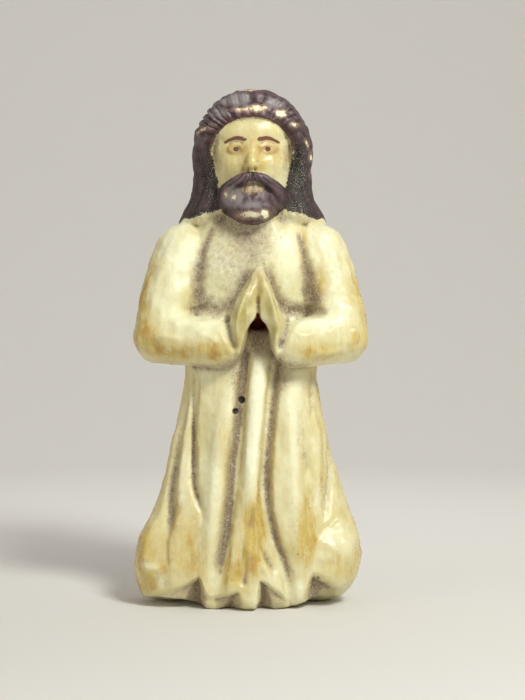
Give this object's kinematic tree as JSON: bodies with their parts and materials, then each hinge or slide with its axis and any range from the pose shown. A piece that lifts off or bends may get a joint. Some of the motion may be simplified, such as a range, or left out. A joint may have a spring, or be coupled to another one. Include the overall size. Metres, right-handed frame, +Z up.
{
  "type": "carved figurine",
  "caption": "Small robed figure standing in prayer, carved in one piece of bone, with long hair, a beard and palms joined at the chest; flat underside.",
  "frame": {"origin": "middle of the bounding box at the flat underside of the robe", "axes": "+Z up the figure; the figure faces -Y; +X towards the figure's left hand"},
  "size_m": [0.0292, 0.0164, 0.0643],
  "materials": {
    "bone": "hand-polished bone, cream to ochre, with dark dirt in the furrows and worn purple-brown paint on hair and beard"
  },
  "bodies": {
    "root": {"praying_figure": "bone"}
  },
  "joints": []
}
